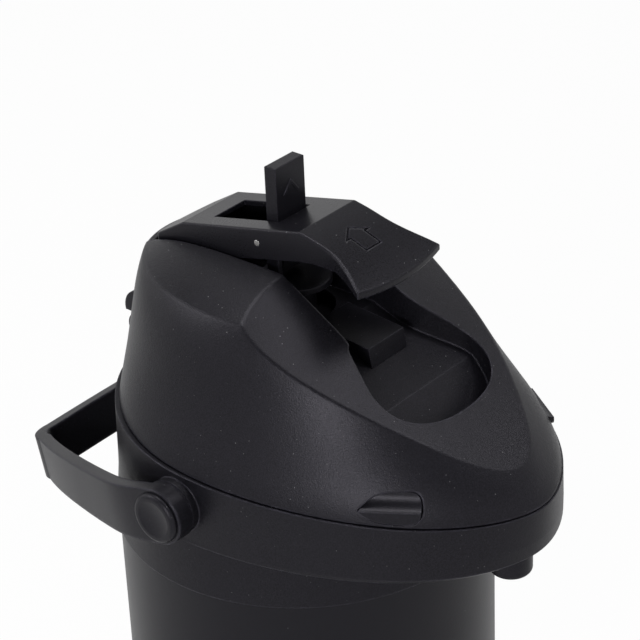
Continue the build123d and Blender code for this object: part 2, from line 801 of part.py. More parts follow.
with BuildPart() as lock_tab_pin:
    with BuildSketch(Plane.YZ):
        with Locations(TAB_PIN):
            Circle(TAB_PIN_R)
    extrude(amount=LEVER_HALF + 0.2, both=True)
save(lock_tab_pin, "lock_tab_pin")

# Lock tab, upright in the slot of the lever, with a raised chevron on its face
with BuildPart() as lock_tab:
    with BuildSketch(Plane.YZ):
        with BuildLine():
            Polyline(
                (TAB_PIN[0] - 3.6, TAB_TOP),
                (TAB_PIN[0] + 2.3, TAB_TOP),
                (TAB_PIN[0] + 2.3, TAB_PIN[1]),
                (TAB_PIN[0] + 1.2, TAB_FOOT),
                (TAB_PIN[0] - 2.9, TAB_FOOT),
                (TAB_PIN[0] - 3.6, TAB_PIN[1]),
                close=True,
            )
        make_face()
    extrude(amount=TAB_HALF, both=True)
    fillet(lock_tab.edges().group_by(Axis.Z)[-1], 0.5)
    with BuildSketch(Plane.XY.offset(TAB_FOOT)):
        for side in (1, -1):
            with Locations((side * (TAB_HALF + 6.0) / 2, TAB_PIN[0])):
                Rectangle(TAB_HALF - 6.0, 20)
    extrude(amount=TAB_PIN[1] - 5 - TAB_FOOT, mode=Mode.SUBTRACT)
    with BuildSketch(Plane.YZ):
        with Locations(TAB_PIN):
            Circle(TAB_PIN_R + RUN)
    extrude(amount=20, both=True, mode=Mode.SUBTRACT)
    with BuildSketch(Plane.XZ.offset(-TAB_PIN[0] + 3.6)):
        with BuildLine():
            Polyline(
                (-4.6, TAB_TOP - 13.0),
                (0, TAB_TOP - 7.4),
                (4.6, TAB_TOP - 13.0),
                (3.8, TAB_TOP - 13.6),
                (0, TAB_TOP - 9.0),
                (-3.8, TAB_TOP - 13.6),
                close=True,
            )
        make_face()
    extrude(amount=0.35)
save(lock_tab, "lock_tab")

# Latch buttons, drop-shaped pushers low on each side of the lid, scooped above a ridge
for side, name in ((-1, "latch_button_left"), (1, "latch_button_right")):
    dx = side * LATCH_NORMAL[0]
    dy = LATCH_NORMAL[1]
    across = Plane(origin=latch_plane(side, 0).origin, x_dir=(dx, dy, 0), z_dir=(dy, -dx, 0))
    with BuildPart() as latch_button:
        with BuildSketch(latch_plane(side, -13)):
            with BuildLine():
                latch_outline(side, 0)
            make_face()
        extrude(amount=14)
        with BuildSketch(across):
            with BuildLine():
                Polyline((-14, -8), (0.3, -8), (0.3, -5.6), (-0.3, -0.4))
                ThreePointArc((-0.3, -0.4), (-4.4, 1.6), (-6.2, 5.8))
                Polyline((-6.2, 5.8), (-6.2, 8), (-14, 8), (-14, -8))
            make_face()
        extrude(amount=30, both=True, mode=Mode.INTERSECT)
    save(latch_button, name)

# Bail handle, a flat strap bent around the back, rounded at its two eyes
droop = radians(DROOP)
handle_plane = Plane(origin=(0, 0, PIVOT_Z), x_dir=(1, 0, 0), z_dir=(0, sin(droop), cos(droop)))
arm = ARM_X + STRAP_T / 2
CORNER_X = 58.0
side_plane = Plane(origin=(0, 0, PIVOT_Z), x_dir=(0, cos(droop), -sin(droop)), z_dir=(1, 0, 0))
with BuildPart() as handle_side:
    with BuildSketch(side_plane):
        Circle(STRAP_H / 2)
        Polygon(
            (0, -STRAP_H / 2),
            (GRIP_Y + 10, -STRAP_H / 2),
            (GRIP_Y + 10, GRIP_H - STRAP_H / 2),
            (0, STRAP_H / 2),
            align=None,
        )
    extrude(amount=120, both=True)
with BuildPart() as handle:
    with BuildSketch(handle_plane.offset(-STRAP_H / 2)):
        with BuildLine() as strap_line:
            Line((arm, -STRAP_H / 2), (arm, 12))
            Spline((arm, 12), (84.0, 34), (73.8, 64), (CORNER_X, GRIP_Y - 8), tangents=((0, 1), (-0.55, 1)))
            ThreePointArc((CORNER_X, GRIP_Y - 8), (CORNER_X - 3.4, GRIP_Y - 1.8), (CORNER_X - 11, GRIP_Y))
            ThreePointArc((CORNER_X - 11, GRIP_Y), (0, GRIP_Y + 1.2), (11 - CORNER_X, GRIP_Y))
            ThreePointArc((11 - CORNER_X, GRIP_Y), (3.4 - CORNER_X, GRIP_Y - 1.8), (-CORNER_X, GRIP_Y - 8))
            Spline(
                (-CORNER_X, GRIP_Y - 8),
                (-73.8, 64),
                (-84.0, 34),
                (-arm, 12),
                tangents=((-0.55, -1), (0, -1)),
            )
            Line((-arm, 12), (-arm, -STRAP_H / 2))
        trace(line_width=STRAP_T)
    extrude(amount=STRAP_H)
    add(handle_side.part, mode=Mode.INTERSECT)
    for side in (1, -1):
        with BuildSketch(Plane.YZ.offset(side * HUB_X)):
            with Locations((0, PIVOT_Z)):
                Circle(STRAP_H / 2)
        extrude(amount=side * (ARM_X + STRAP_T - HUB_X))
    with BuildSketch(Plane.YZ):
        with Locations((0, PIVOT_Z)):
            Circle(STUD_R + RUN)
    extrude(amount=110, both=True, mode=Mode.SUBTRACT)
save(handle, "handle")

# Handle studs in the collar's bosses, and the dished caps over the eyes of the handle
CAP_T = 2.3
DISH_DEPTH = 1.1
DISH_R = 30.0
for side, name in ((-1, "left"), (1, "right")):
    with BuildPart() as handle_stud:
        with BuildSketch(Plane.YZ.offset(side * (RIM_R - 6))):
            with Locations((0, PIVOT_Z)):
                Circle(STUD_R)
        extrude(amount=side * (ARM_X + STRAP_T + 0.1 - RIM_R + 6))
    save(handle_stud, "handle_stud_" + name)
    with BuildPart() as handle_cap:
        with BuildSketch(Plane.YZ.offset(side * (ARM_X + STRAP_T + 0.1))):
            with Locations((0, PIVOT_Z)):
                Circle(11)
        extrude(amount=side * CAP_T)
        fillet(handle_cap.faces().sort_by(Axis((0, 0, 0), (side, 0, 0)))[-1].edges(), 1.9)
        with Locations((side * (ARM_X + STRAP_T + 0.1 + CAP_T - DISH_DEPTH + DISH_R), 0, PIVOT_Z)):
            Sphere(DISH_R, mode=Mode.SUBTRACT)
    save(handle_cap, "handle_cap_" + name)
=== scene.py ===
import math

import bmesh
import bpy
from mathutils import Matrix, Vector


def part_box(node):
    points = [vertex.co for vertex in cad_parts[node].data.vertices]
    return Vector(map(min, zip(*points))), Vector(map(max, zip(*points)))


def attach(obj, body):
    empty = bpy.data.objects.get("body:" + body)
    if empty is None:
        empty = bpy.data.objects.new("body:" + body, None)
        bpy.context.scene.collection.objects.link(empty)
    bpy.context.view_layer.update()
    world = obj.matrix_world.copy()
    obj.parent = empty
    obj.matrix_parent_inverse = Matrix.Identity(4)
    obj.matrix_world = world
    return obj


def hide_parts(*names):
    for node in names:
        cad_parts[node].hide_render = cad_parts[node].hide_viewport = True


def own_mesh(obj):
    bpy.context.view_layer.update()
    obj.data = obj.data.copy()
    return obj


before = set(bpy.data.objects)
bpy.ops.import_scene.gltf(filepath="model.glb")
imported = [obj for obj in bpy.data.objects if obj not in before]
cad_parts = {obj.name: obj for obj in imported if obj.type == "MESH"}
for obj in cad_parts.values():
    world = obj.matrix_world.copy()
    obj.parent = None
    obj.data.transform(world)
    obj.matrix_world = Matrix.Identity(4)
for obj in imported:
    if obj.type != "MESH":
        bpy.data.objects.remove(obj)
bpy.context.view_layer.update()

bl_info = {
    "name": "Airpot",
    "version": (1, 0, 0),
    "blender": (4, 5, 0),
    "location": "3D View > Sidebar > Airpot",
    "description": "Finishes the packed airpot, adds its small details and sets up a plain studio",
    "category": "Object",
}

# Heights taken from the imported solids, in metres
BASE_SCREW_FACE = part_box("base_screws")[0].z
LID_SCREW_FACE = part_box("lid_screws")[0].z

# Screws: number, direction of the first in degrees, and circles and recesses in metres
BASE_SCREW_COUNT = 3
BASE_SCREW_START = 90
BASE_SCREW_CIRCLE = 0.040
BASE_SCREW_REACH = 0.0021
BASE_SCREW_ARM = 0.0005
LID_SCREW_COUNT = 4
LID_SCREW_START = 45
LID_SCREW_CIRCLE = 0.048
LID_SCREW_REACH = 0.0018
LID_SCREW_ARM = 0.00045
RECESS_SUNK = 0.00004

# Lengths in the finishes, in metres
STEEL_EDGE = 0.0003
RUBBER_EDGE = 0.0003
CASING_EDGE = 0.0004
DUST_SPACING = 0.0024
COAT_DUST_SPACING = 0.006
FLOW_SIZE = 0.035
SCUFF_SIZE = 0.0016
EDGE_WEAR_AND_HIGHLIGHT_SIZE = 0.004
DUST_PATCH_SIZE = 0.018
PEEL_SIZE = 0.0011
FINE_PEEL_SIZE = 0.00025
WIPE_SIZE = 0.004
PEEL_DEPTH = 0.000035
CLOUD_SIZE = 0.05
RUBBER_GRAIN_SIZE = 0.0005
RUBBER_GRAIN_DEPTH = 0.00004
MOTTLE_SIZE = 0.012
BRUSH_SIZE = 0.0003
BRUSH_DEPTH = 0.000012
STAIN_SIZE = 0.03
RECESS_TONE_SIZE = 0.0008
PAPER_SIZE = 0.4

# Moulded plastics: roughness, strength of the grain, dust, and edge radius in metres
MOULDINGS = {
    "base_moulding": (0.46, 1.0, 0.4, 0.0006),
    "inner_moulding": (0.42, 0.7, 0.0, 0.0004),
    "nozzle_moulding": (0.36, 0.5, 0.3, 0.0005),
    "collar_moulding": (0.36, 0.9, 1.0, 0.0011),
    "lid_moulding": (0.34, 1.0, 1.0, 0.0012),
    "button_moulding": (0.34, 0.6, 0.8, 0.0006),
    "pump_moulding": (0.45, 0.8, 0.0, 0.0005),
    "plunger_moulding": (0.4, 0.6, 0.3, 0.0004),
    "lever_moulding": (0.29, 0.4, 1.2, 0.0009),
    "tab_moulding": (0.36, 0.5, 0.8, 0.0005),
    "handle_moulding": (0.34, 0.6, 0.8, 0.0018),
    "cap_moulding": (0.35, 0.6, 0.8, 0.0006),
}

# Colours that are not settings
FOOT_RUBBER = (0.018, 0.018, 0.018)
DUST = (0.36, 0.36, 0.37, 1.0)
COAT_DUST = (0.25, 0.25, 0.26, 1.0)
RECESS_DARK = (0.02, 0.02, 0.021, 1.0)
RECESS_PALE = (0.06, 0.058, 0.055, 1.0)
WHITE = (1.0, 1.0, 1.0, 1.0)
FLOOR_DARK = (0.84, 0.84, 0.84, 1.0)
FLOOR_LIGHT = (0.87, 0.87, 0.87, 1.0)

# Studio: floor half width in metres, how much of its white the camera and the gloss see, and the
# heights of a ray's direction between which the white backdrop fades in the gloss
FLOOR_REACH = 6.0
FLOOR_WHITE_SHARE = 0.95
FLOOR_MIRRORED = 0.1
BACKDROP_FADE = (0.25, 0.8)
BACKDROP_LOSS = 0.9
LAMP_TARGET = (0.0, 0.0, 0.3)

# Camera: lens and sensor in millimetres, reach of its view in metres, and the place of the point it
# was placed from, in pixels of the 640 pixel photograph left of and below the middle
LENS = 135.0
SENSOR_WIDTH = 36.0
CLIP_START = 0.05
CLIP_END = 30.0
PHOTO_WIDTH = 640
LENS_PIXELS = LENS / SENSOR_WIDTH * PHOTO_WIDTH
AIM_RIGHT_PIXELS = 18.9
AIM_UP_PIXELS = 56.4

# Lamps: name, place and side in metres, and power in watts
LAMPS = (
    ("front_lamp", (-1.95, -0.85, 1.0), 0.5, 19.0),
    ("right_lamp", (0.8, -0.75, 2.05), 0.75, 12.0),
    ("back_lamp", (-1.0, 1.5, 1.65), 0.8, 13.0),
    ("top_lamp", (0.3, 0.5, 2.3), 0.7, 14.0),
)


# Shader expressions


class Val:
    """A shader socket that can stand in a Python expression, where each operation adds its node."""

    def __init__(self, graph, socket):
        self.graph = graph
        self.socket = socket

    def _math(self, operation, first, second):
        return self.graph.node("ShaderNodeMath", {"operation": operation}, {0: first, 1: second})

    def __add__(self, other):
        return self._math("ADD", self, other)

    def __radd__(self, other):
        return self._math("ADD", other, self)

    def __sub__(self, other):
        return self._math("SUBTRACT", self, other)

    def __rsub__(self, other):
        return self._math("SUBTRACT", other, self)

    def __mul__(self, other):
        return self._math("MULTIPLY", self, other)

    def __rmul__(self, other):
        return self._math("MULTIPLY", other, self)

    def most(self, other):
        """The larger of two values."""
        return self._math("MAXIMUM", self, other)

    def between(self, low, high):
        """Rises smoothly from 0 at low to 1 at high."""
        return self.graph.node(
            "ShaderNodeMapRange",
            {"interpolation_type": "SMOOTHSTEP"},
            {"Value": self, "From Min": low, "From Max": high, "To Min": 0.0, "To Max": 1.0},
        )


class Graph:
    """The node tree of one material or world."""

    def __init__(self, owner):
        self.owner = owner
        owner.use_nodes = True
        self.tree = owner.node_tree
        self.tree.nodes.clear()

    def node(self, kind, settings=None, inputs=None, output=0):
        """Adds a node, with its settings first and then the values or links of its sockets."""
        made = self.tree.nodes.new(kind)
        made.location = (220 * (len(self.tree.nodes) % 12), -260 * (len(self.tree.nodes) // 12))
        for key, value in (settings or {}).items():
            setattr(made, key, value)
        for key, value in (inputs or {}).items():
            if isinstance(value, Val):
                self.tree.links.new(value.socket, made.inputs[key])
            else:
                made.inputs[key].default_value = value
        return Val(self, made.outputs[output])

    def place(self, stretch=(1.0, 1.0, 1.0)):
        """The object's own coordinates in metres, stretched along its axes."""
        plain = self.node("ShaderNodeTexCoord", output="Object")
        if stretch == (1.0, 1.0, 1.0):
            return plain
        return self.node("ShaderNodeVectorMath", {"operation": "MULTIPLY"}, {0: plain, 1: stretch})

    def noise(self, size, detail=2.0, roughness=0.5, stretch=(1.0, 1.0, 1.0)):
        """Noise whose lumps are about the given size in metres."""
        inputs = {
            "Vector": self.place(stretch),
            "Scale": 1.0 / size,
            "Detail": detail,
            "Roughness": roughness,
        }
        return self.node("ShaderNodeTexNoise", {"normalize": True}, inputs)

    def blend(self, factor, first, second):
        """Mixes two colours."""
        return self.node(
            "ShaderNodeMix",
            {"data_type": "RGBA", "clamp_factor": True},
            {0: factor, 6: first, 7: second},
            output=2,
        )

    def specks(self, spacing, reach, share):
        """Small round flecks in a given share of the cells of a regular scatter."""
        place = self.place()
        kind = "ShaderNodeTexVoronoi"
        cell = {"Vector": place, "Scale": 1.0 / spacing, "Randomness": 1.0}
        near = self.node(kind, {"feature": "F1"}, cell, output="Distance")
        tint = self.node(kind, {"feature": "F1"}, cell, output="Color")
        pick = self.node("ShaderNodeSeparateColor", None, {"Color": tint}, output="Red")
        fleck = 1.0 - near.between(reach * 0.5, reach)
        return fleck * pick.between(1.0 - share, 1.0 - share + 0.02)

    def rounded(self, radius):
        """The normal, rounded over edges."""
        return self.node("ShaderNodeBevel", {"samples": 4}, {"Radius": radius}, output="Normal")

    def edge_mask(self, rounded):
        """0 on flat places and 1 where the rounded normal turns well away from the true one."""
        flat = self.node("ShaderNodeNewGeometry", output="Normal")
        dot = {"operation": "DOT_PRODUCT"}
        along = self.node("ShaderNodeVectorMath", dot, {0: rounded, 1: flat}, output="Value")
        return (1.0 - along).between(0.004, 0.12)

    def upward(self):
        """1 on surfaces that face up and gather dust, 0 on walls."""
        normal = self.node("ShaderNodeNewGeometry", output="Normal")
        height = self.node("ShaderNodeSeparateXYZ", None, {"Vector": normal}, output="Z")
        return height.between(0.15, 0.8)

    def bump(self, height, depth, normal):
        """A bumped normal, for a height from 0 to 1 that is depth metres deep."""
        inputs = {"Strength": 1.0, "Distance": depth, "Height": height, "Normal": normal}
        return self.node("ShaderNodeBump", None, inputs)

    def surface(self, values):
        """Ends the tree in a Principled surface with the given socket values."""
        shader = self.node("ShaderNodeBsdfPrincipled", None, values, output="BSDF")
        self.node_output(shader)
        return self.owner

    def node_output(self, shader):
        """Links a shader to the material's or world's output."""
        is_world = isinstance(self.owner, bpy.types.World)
        kind = "ShaderNodeOutputWorld" if is_world else "ShaderNodeOutputMaterial"
        end = self.tree.nodes.new(kind)
        end.location = (220 * 12, 0)
        self.tree.links.new(shader.socket, end.inputs["Surface"])


def rgba(colour, gain=1.0):
    """A colour with full alpha, lightened or darkened by a gain."""
    return (*[min(1.0, part * gain) for part in colour], 1.0)


# Finishes


def black_surface(graph, look, base, sheen, normal):
    """Ends a black finish with the gloss that all black pieces share."""
    return graph.surface(
        {
            "Base Color": base,
            "Roughness": sheen,
            "Normal": normal,
            "Specular IOR Level": look.plastic_gloss,
            "Specular Tint": rgba(look.sheen_tint),
        }
    )


def moulded_plastic(name, look, colour):
    """Injection-moulded plastic: eroded grain, faint flow marks, scuffs, edges lightened partly by
    wear and mostly as painted highlight lines, and dust.
    """
    roughness, grain, dust, edge_radius = MOULDINGS[name]
    graph = Graph(bpy.data.materials.new(name))
    rounded = graph.rounded(edge_radius)
    edge = graph.edge_mask(rounded)
    fine = graph.noise(look.grain_size, detail=3.0, roughness=0.65)
    coarse = graph.noise(look.grain_size * 3.2, detail=2.0)
    flow = graph.noise(FLOW_SIZE, detail=3.0, stretch=(1.0, 1.0, 0.45))
    scuff = graph.noise(SCUFF_SIZE, detail=4.0, roughness=0.7, stretch=(1.0, 0.08, 0.35))
    scuff = scuff.between(0.66, 0.78)
    patch = 0.35 + 0.65 * graph.noise(DUST_PATCH_SIZE, detail=2.0).between(0.42, 0.6)
    lying = graph.specks(DUST_SPACING, 0.095, look.dust_share)
    lying = lying * (0.45 + 0.55 * graph.upward()) * patch * dust
    # Edge mark, partly wear and partly painted highlight lines on the rounded edges, broken up by
    # noise
    edge_wear_and_highlight = edge * (0.35 + 0.65 * graph.noise(EDGE_WEAR_AND_HIGHLIGHT_SIZE, detail=3.0).between(0.35, 0.7))
    base = graph.blend(fine.between(0.32, 0.68), rgba(colour, 0.45), rgba(colour, 1.75))
    base = graph.blend(flow.between(0.35, 0.65) * 0.3, base, rgba(colour, 1.3))
    # Painted highlight lines, with some wear: the edges lightened towards nine times the colour
    base = graph.blend(edge_wear_and_highlight * 0.8, base, rgba(colour, 9.0))
    base = graph.blend(scuff * 0.25, base, rgba(colour, 2.6))
    base = graph.blend(lying * 0.8, base, DUST)
    sheen = roughness + (flow - 0.5) * 0.1 + (fine - 0.5) * 0.12
    sheen = sheen - scuff * 0.07 - edge_wear_and_highlight * 0.08 + lying * 0.3
    height = fine * 0.7 + coarse * 0.3
    normal = graph.bump(height, look.grain_depth * grain, rounded)
    return black_surface(graph, look, base, sheen, normal)


def powder_coat(name, look):
    """Black coated steel: a shallow orange-peel with a satin gloss."""
    graph = Graph(bpy.data.materials.new(name))
    rounded = graph.rounded(CASING_EDGE)
    edge = graph.edge_mask(rounded)
    peel = graph.noise(PEEL_SIZE, detail=2.0)
    fine = graph.noise(FINE_PEEL_SIZE, detail=2.0)
    cloud = graph.noise(CLOUD_SIZE, detail=3.0)
    wipe = graph.noise(WIPE_SIZE, detail=3.0, roughness=0.6, stretch=(0.25, 0.25, 1.6))
    wipe = wipe.between(0.6, 0.8)
    lying = graph.specks(COAT_DUST_SPACING, 0.035, look.dust_share * 0.6)
    base = graph.blend(cloud, rgba(look.casing_colour, 0.9), rgba(look.casing_colour, 1.12))
    base = graph.blend(edge * 0.5, base, rgba(look.casing_colour, 2.2))
    base = graph.blend(lying * 0.6, base, COAT_DUST)
    sheen = 0.36 + (cloud - 0.5) * 0.08 - wipe * 0.05 + lying * 0.3
    normal = graph.bump(peel * 0.75 + fine * 0.25, PEEL_DEPTH, rounded)
    return black_surface(graph, look, base, sheen, normal)


def rubber(name, colour, roughness):
    """Moulded rubber or silicone: matte, lightly mottled, with a powdery bloom on its edges."""
    graph = Graph(bpy.data.materials.new(name))
    rounded = graph.rounded(RUBBER_EDGE)
    edge = graph.edge_mask(rounded)
    fine = graph.noise(RUBBER_GRAIN_SIZE, detail=3.0)
    mottle = graph.noise(MOTTLE_SIZE, detail=3.0)
    base = graph.blend(mottle, rgba(colour, 0.85), rgba(colour, 1.15))
    base = graph.blend(edge * 0.5, base, rgba(colour, 1.8))
    normal = graph.bump(fine, RUBBER_GRAIN_DEPTH, rounded)
    sheen = roughness + (mottle - 0.5) * 0.12
    return graph.surface({"Base Color": base, "Roughness": sheen, "Normal": normal})


def brushed_steel(name, colour, roughness, stretch):
    """Steel with fine drawn or spun lines along one direction."""
    graph = Graph(bpy.data.materials.new(name))
    rounded = graph.rounded(STEEL_EDGE)
    lines = graph.noise(BRUSH_SIZE, detail=3.0, roughness=0.7, stretch=stretch)
    stain = graph.noise(STAIN_SIZE, detail=3.0)
    base = graph.blend(stain, rgba(colour, 0.92), rgba(colour, 1.06))
    base = graph.blend(lines.between(0.3, 0.7) * 0.25, base, rgba(colour, 0.8))
    sheen = roughness + (lines - 0.5) * 0.16 + (stain - 0.5) * 0.06
    normal = graph.bump(lines, BRUSH_DEPTH, rounded)
    values = {"Base Color": base, "Roughness": sheen, "Metallic": 1.0, "Normal": normal}
    return graph.surface(values)


def dark_recess(name):
    """The shadowed inside of a drive recess."""
    graph = Graph(bpy.data.materials.new(name))
    recess_tone = graph.noise(RECESS_TONE_SIZE, detail=3.0)
    # Painted shade of the recess, from dark to pale by noise
    base = graph.blend(recess_tone, RECESS_DARK, RECESS_PALE)
    return graph.surface({"Base Color": base, "Roughness": 0.55 + recess_tone * 0.2, "Metallic": 0.6})


# Small helpers


def dress(material, *names):
    """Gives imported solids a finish, in place of the plain one they came with."""
    for name in names:
        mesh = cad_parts[name].data
        mesh.materials.clear()
        mesh.materials.append(material)


def add_piece(name, mesh_maker, material, body):
    """Links a new mesh piece and lets it ride on a body."""
    mesh = bpy.data.meshes.new(name)
    mesh_maker(mesh)
    piece = bpy.data.objects.new(name, mesh)
    bpy.context.scene.collection.objects.link(piece)
    mesh.materials.append(material)
    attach(piece, body)
    return piece


def flattening_copy(node, name, material):
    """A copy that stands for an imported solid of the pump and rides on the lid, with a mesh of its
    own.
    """

    def make(mesh):
        shape = bmesh.new()
        shape.from_mesh(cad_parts[node].data)
        shape.to_mesh(mesh)
        shape.free()

    piece = add_piece(name, make, material, "lid")
    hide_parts(node)
    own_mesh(piece)


def cross_recesses(centres, face, reach, arm):
    """Mesh maker for thin dark crosses on downward-facing screw heads: painted shade that stands
    for their cross recesses.
    """

    def make(mesh):
        shape = bmesh.new()
        for x, y in centres:
            outline = []
            for turn in range(4):
                angle = math.radians(90 * turn)
                for along, aside in ((arm, -arm), (reach, -arm * 0.8), (reach, arm * 0.8)):
                    px = along * math.cos(angle) - aside * math.sin(angle)
                    py = along * math.sin(angle) + aside * math.cos(angle)
                    outline.append((x + px, y + py))
            low = [shape.verts.new((px, py, face - RECESS_SUNK)) for px, py in outline]
            high = [shape.verts.new((px, py, face + RECESS_SUNK)) for px, py in outline]
            shape.faces.new(low[::-1])
            shape.faces.new(high)
            for i in range(len(outline)):
                j = (i + 1) % len(outline)
                shape.faces.new((low[i], low[j], high[j], high[i]))
        bmesh.ops.recalc_face_normals(shape, faces=shape.faces)
        shape.to_mesh(mesh)
        shape.free()

    return make


def circle_points(radius, count, start):
    """Points spaced evenly round the body axis."""
    points = []
    for i in range(count):
        angle = math.radians(start + 360.0 * i / count)
        points.append((radius * math.cos(angle), radius * math.sin(angle)))
    return points


# Settings


class AirpotLook(bpy.types.PropertyGroup):
    """Colours and grain of the airpot's finishes."""

    plastic_colour: bpy.props.FloatVectorProperty(
        name="Plastic",
        description="Colour of the moulded shell, lid and handle",
        subtype="COLOR",
        size=3,
        min=0.0,
        max=1.0,
        default=(0.0065, 0.0062, 0.0083),
    )
    casing_colour: bpy.props.FloatVectorProperty(
        name="Casing",
        description="Colour of the coated steel tube",
        subtype="COLOR",
        size=3,
        min=0.0,
        max=1.0,
        default=(0.0060, 0.0058, 0.0077),
    )
    inner_colour: bpy.props.FloatVectorProperty(
        name="Inner plastic",
        description="Colour of the pump and neck mouldings",
        subtype="COLOR",
        size=3,
        min=0.0,
        max=1.0,
        default=(0.03, 0.03, 0.033),
    )
    silicone_colour: bpy.props.FloatVectorProperty(
        name="Silicone",
        description="Colour of the seal, valve and bellows",
        subtype="COLOR",
        size=3,
        min=0.0,
        max=1.0,
        default=(0.35, 0.35, 0.34),
    )
    steel_colour: bpy.props.FloatVectorProperty(
        name="Steel",
        description="Colour of the flask, pins and screws",
        subtype="COLOR",
        size=3,
        min=0.0,
        max=1.0,
        default=(0.62, 0.61, 0.60),
    )
    grain_size: bpy.props.FloatProperty(
        name="Grain size",
        description="Width of one grain of the moulded surface",
        unit="LENGTH",
        min=0.0001,
        max=0.002,
        default=0.0006,
    )
    grain_depth: bpy.props.FloatProperty(
        name="Grain depth",
        description="Depth of the moulded grain",
        unit="LENGTH",
        min=0.0,
        max=0.0005,
        default=0.00015,
    )
    plastic_gloss: bpy.props.FloatProperty(
        name="Plastic gloss",
        description="Specular level of the black surfaces",
        subtype="FACTOR",
        min=0.0,
        max=1.0,
        default=0.21,
    )
    sheen_tint: bpy.props.FloatVectorProperty(
        name="Sheen tint",
        description="Tint of the reflection on the black surfaces",
        subtype="COLOR",
        size=3,
        min=0.0,
        max=1.0,
        default=(0.92, 0.89, 1.0),
    )
    dust_share: bpy.props.FloatProperty(
        name="Dust",
        description="Share of the scatter that holds a fleck of dust",
        subtype="FACTOR",
        min=0.0,
        max=1.0,
        default=0.42,
    )


class AirpotStudio(bpy.types.PropertyGroup):
    """Camera and light of the studio."""

    azimuth: bpy.props.FloatProperty(
        name="Azimuth",
        description="Turn of the camera round the airpot, from its beak",
        subtype="ANGLE",
        default=math.radians(-48.2),
    )
    elevation: bpy.props.FloatProperty(
        name="Elevation",
        description="Height angle of the camera",
        subtype="ANGLE",
        default=math.radians(30.7),
    )
    roll: bpy.props.FloatProperty(
        name="Roll",
        description="Tilt of the camera about its own line of sight",
        subtype="ANGLE",
        default=math.radians(-2.83),
    )
    distance: bpy.props.FloatProperty(
        name="Distance",
        description="Distance from the camera to the point on the axis that it was placed from",
        unit="LENGTH",
        default=1.008,
    )
    pivot_height: bpy.props.FloatProperty(
        name="Pivot height",
        description="Height on the axis of the point that the camera was placed from",
        unit="LENGTH",
        default=0.305,
    )
    aim_right: bpy.props.FloatProperty(
        name="Aim right",
        description="How far the line of sight points to the right of that point",
        subtype="ANGLE",
        default=math.atan(AIM_RIGHT_PIXELS / LENS_PIXELS),
    )
    aim_up: bpy.props.FloatProperty(
        name="Aim up",
        description="How far the line of sight points above that point",
        subtype="ANGLE",
        default=math.atan(AIM_UP_PIXELS / LENS_PIXELS),
    )
    lens: bpy.props.FloatProperty(
        name="Lens",
        description="Focal length of the camera on a 36 mm sensor",
        unit="CAMERA",
        default=LENS,
    )
    room_light: bpy.props.FloatProperty(
        name="Room light",
        description="Strength of the even light from all round",
        min=0.0,
        max=2.0,
        default=0.2,
    )


# Operators, one for each group of pieces and one for the stage


class AIRPOT_OT_base(bpy.types.Operator):
    """Finish the foot pad, base cup, cushion and base screws, and add the painted shade of the
    drive recesses
    """

    bl_idname = "airpot.base"
    bl_label = "Base"

    def execute(self, context):
        look = context.scene.airpot_look
        black_rubber = rubber("foot_rubber", FOOT_RUBBER, 0.75)
        dress(black_rubber, "foot_pad", "flask_cushion")
        shell = moulded_plastic("base_moulding", look, look.plastic_colour)
        dress(shell, "base_cup")
        drawn = brushed_steel("screw_steel", look.steel_colour, 0.3, (1.0, 1.0, 0.1))
        dress(drawn, "base_screws")
        recess = dark_recess("drive_recess_shade")
        spots = circle_points(BASE_SCREW_CIRCLE, BASE_SCREW_COUNT, BASE_SCREW_START)
        maker = cross_recesses(spots, BASE_SCREW_FACE, BASE_SCREW_REACH, BASE_SCREW_ARM)
        add_piece("base_screw_recess_shade", maker, recess, "body")
        spots = circle_points(LID_SCREW_CIRCLE, LID_SCREW_COUNT, LID_SCREW_START)
        maker = cross_recesses(spots, LID_SCREW_FACE, LID_SCREW_REACH, LID_SCREW_ARM)
        add_piece("lid_screw_recess_shade", maker, recess, "lid")
        return {"FINISHED"}


class AIRPOT_OT_casing(bpy.types.Operator):
    """Finish the coated steel casing"""

    bl_idname = "airpot.casing"
    bl_label = "Casing"

    def execute(self, context):
        look = context.scene.airpot_look
        dress(powder_coat("casing_coat", look), "casing")
        return {"FINISHED"}


class AIRPOT_OT_flask(bpy.types.Operator):
    """Finish the vacuum flask, its neck ring and the water's path"""

    bl_idname = "airpot.flask"
    bl_label = "Flask and water path"

    def execute(self, context):
        look = context.scene.airpot_look
        spun = brushed_steel("flask_steel", look.steel_colour, 0.28, (0.05, 0.05, 1.0))
        dress(spun, "flask_inner", "flask_outer")
        inner = moulded_plastic("inner_moulding", look, look.inner_colour)
        dress(inner, "neck_ring", "spout_pipe", "dip_tube")
        shell = moulded_plastic("nozzle_moulding", look, look.plastic_colour)
        dress(shell, "nozzle")
        return {"FINISHED"}


class AIRPOT_OT_collar(bpy.types.Operator):
    """Finish the collar with its beak and bosses"""

    bl_idname = "airpot.collar"
    bl_label = "Collar"

    def execute(self, context):
        look = context.scene.airpot_look
        shell = moulded_plastic("collar_moulding", look, look.plastic_colour)
        dress(shell, "collar")
        return {"FINISHED"}


class AIRPOT_OT_lid(bpy.types.Operator):
    """Finish the lid, its rear tab, stop block, latch buttons and hinge pin"""

    bl_idname = "airpot.lid"
    bl_label = "Lid"

    def execute(self, context):
        look = context.scene.airpot_look
        shell = moulded_plastic("lid_moulding", look, look.plastic_colour)
        dress(shell, "lid_shell", "rear_tab")
        small = moulded_plastic("button_moulding", look, look.plastic_colour)
        dress(small, "stop_block", "latch_button_left", "latch_button_right")
        drawn = brushed_steel("pin_steel", look.steel_colour, 0.25, (0.1, 1.0, 1.0))
        dress(drawn, "lid_hinge_pin", "lever_pin", "lock_tab_pin")
        return {"FINISHED"}


